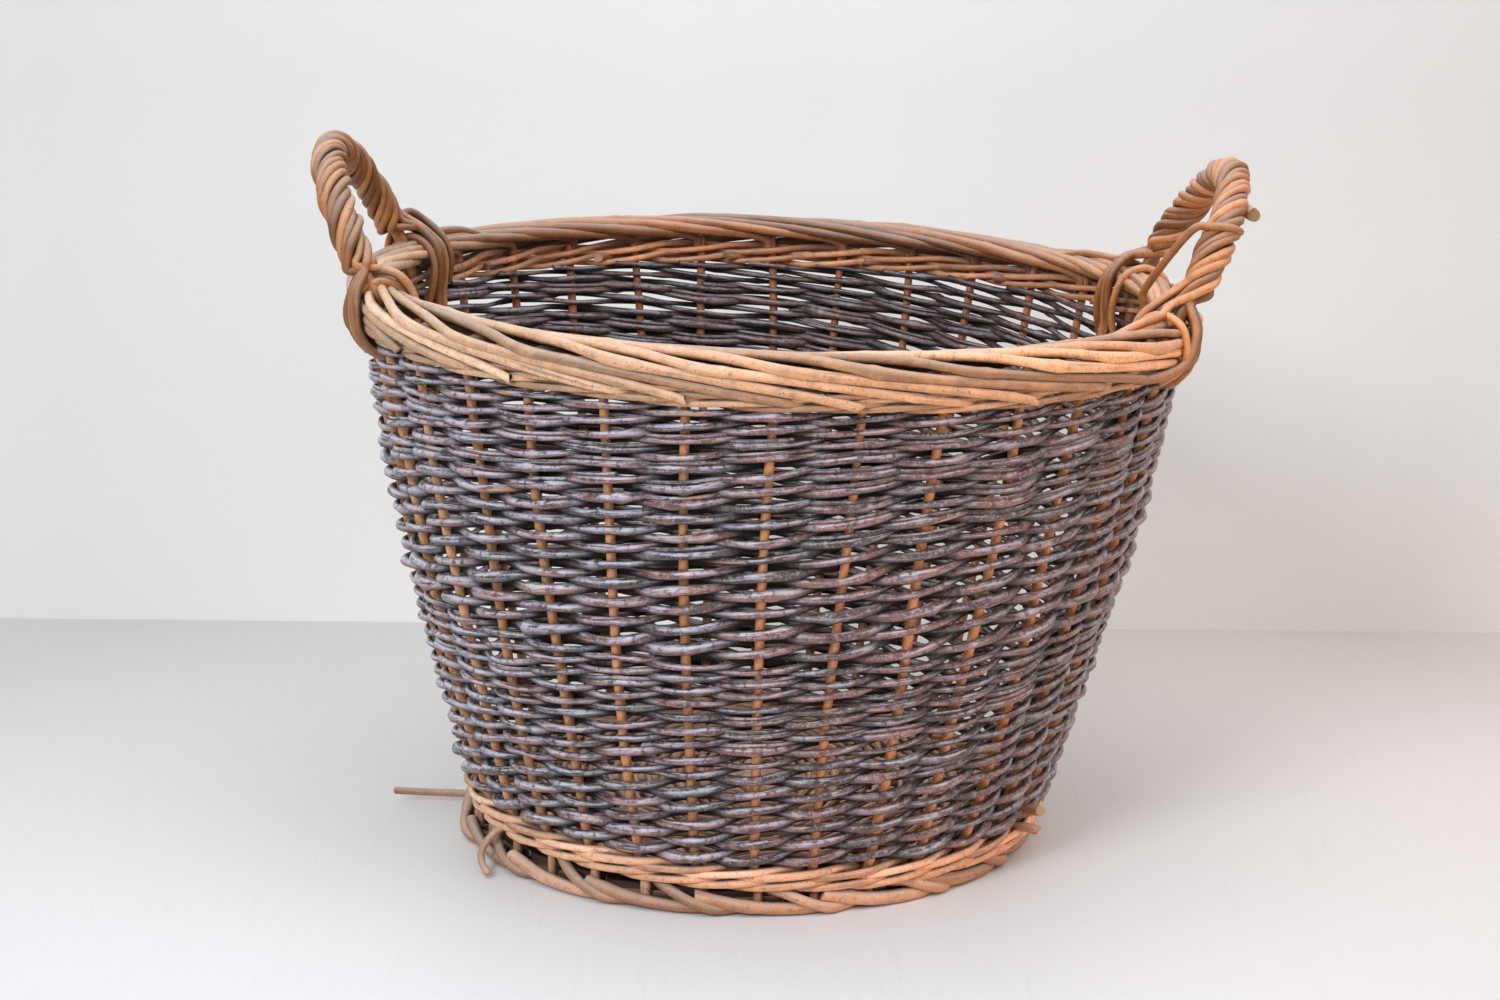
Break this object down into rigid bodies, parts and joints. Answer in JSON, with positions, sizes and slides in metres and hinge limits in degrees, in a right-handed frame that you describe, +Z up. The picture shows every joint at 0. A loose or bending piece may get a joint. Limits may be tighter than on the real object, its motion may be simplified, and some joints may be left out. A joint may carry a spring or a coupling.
{
  "type": "wicker log basket",
  "caption": "Round woven willow log basket, tapering to a narrower foot, with a plaited border at rim and foot and two stiff roped handles standing above the rim.",
  "frame": {"origin": "on the floor under the middle of the basket, at the bottom centre of its bounding box", "axes": "+X runs from the left handle to the right handle, +Y from the front to the back, +Z up"},
  "size_m": [0.5829, 0.53, 0.4465],
  "materials": {
    "brown_willow": "unpeeled bark, satin",
    "buff_willow": "peeled, satin",
    "stake_willow": "peeled, satin",
    "border_willow": "peeled, satin",
    "foot_willow": "peeled, worn",
    "base_willow": "peeled, worn",
    "handle_willow": "peeled, worn"
  },
  "bodies": {
    "root": {"foot_border": "foot_willow", "base_weave": "base_willow", "base_stick_1": "base_willow", "base_stick_2": "base_willow", "base_stick_3": "base_willow", "base_stick_4": "base_willow", "base_stick_5": "base_willow", "base_stick_6": "base_willow", "base_stick_7": "base_willow", "base_stick_8": "base_willow", "stake_01": "stake_willow", "stake_02": "stake_willow", "stake_03": "stake_willow", "stake_04": "stake_willow", "stake_05": "stake_willow", "stake_06": "stake_willow", "stake_07": "stake_willow", "stake_08": "stake_willow", "stake_09": "stake_willow", "stake_10": "stake_willow", "stake_11": "stake_willow", "stake_12": "stake_willow", "stake_13": "stake_willow", "stake_14": "stake_willow", "stake_15": "stake_willow", "stake_16": "stake_willow", "stake_17": "stake_willow", "stake_18": "stake_willow", "stake_19": "stake_willow", "stake_20": "stake_willow", "stake_21": "stake_willow", "stake_22": "stake_willow", "stake_23": "stake_willow", "stake_24": "stake_willow", "stake_25": "stake_willow", "stake_26": "stake_willow", "stake_27": "stake_willow", "stake_28": "stake_willow", "stake_29": "stake_willow", "stake_30": "stake_willow", "stake_31": "stake_willow", "stake_32": "stake_willow", "upsett_wale": "buff_willow", "lower_siding": "brown_willow", "upper_siding": "brown_willow", "top_wale": "buff_willow", "rim_border": "border_willow", "left_handle_bow": "handle_willow", "right_handle_bow": "handle_willow", "left_handle_strand_1": "handle_willow", "left_handle_strand_2": "handle_willow", "left_handle_strand_3": "handle_willow", "left_handle_strand_4": "handle_willow", "right_handle_strand_1": "handle_willow", "right_handle_strand_2": "handle_willow", "right_handle_strand_3": "handle_willow", "right_handle_strand_4": "handle_willow", "left_handle_lashings": "handle_willow", "right_handle_lashings": "handle_willow", "stray_rod_ends": "foot_willow"}
  },
  "joints": []
}
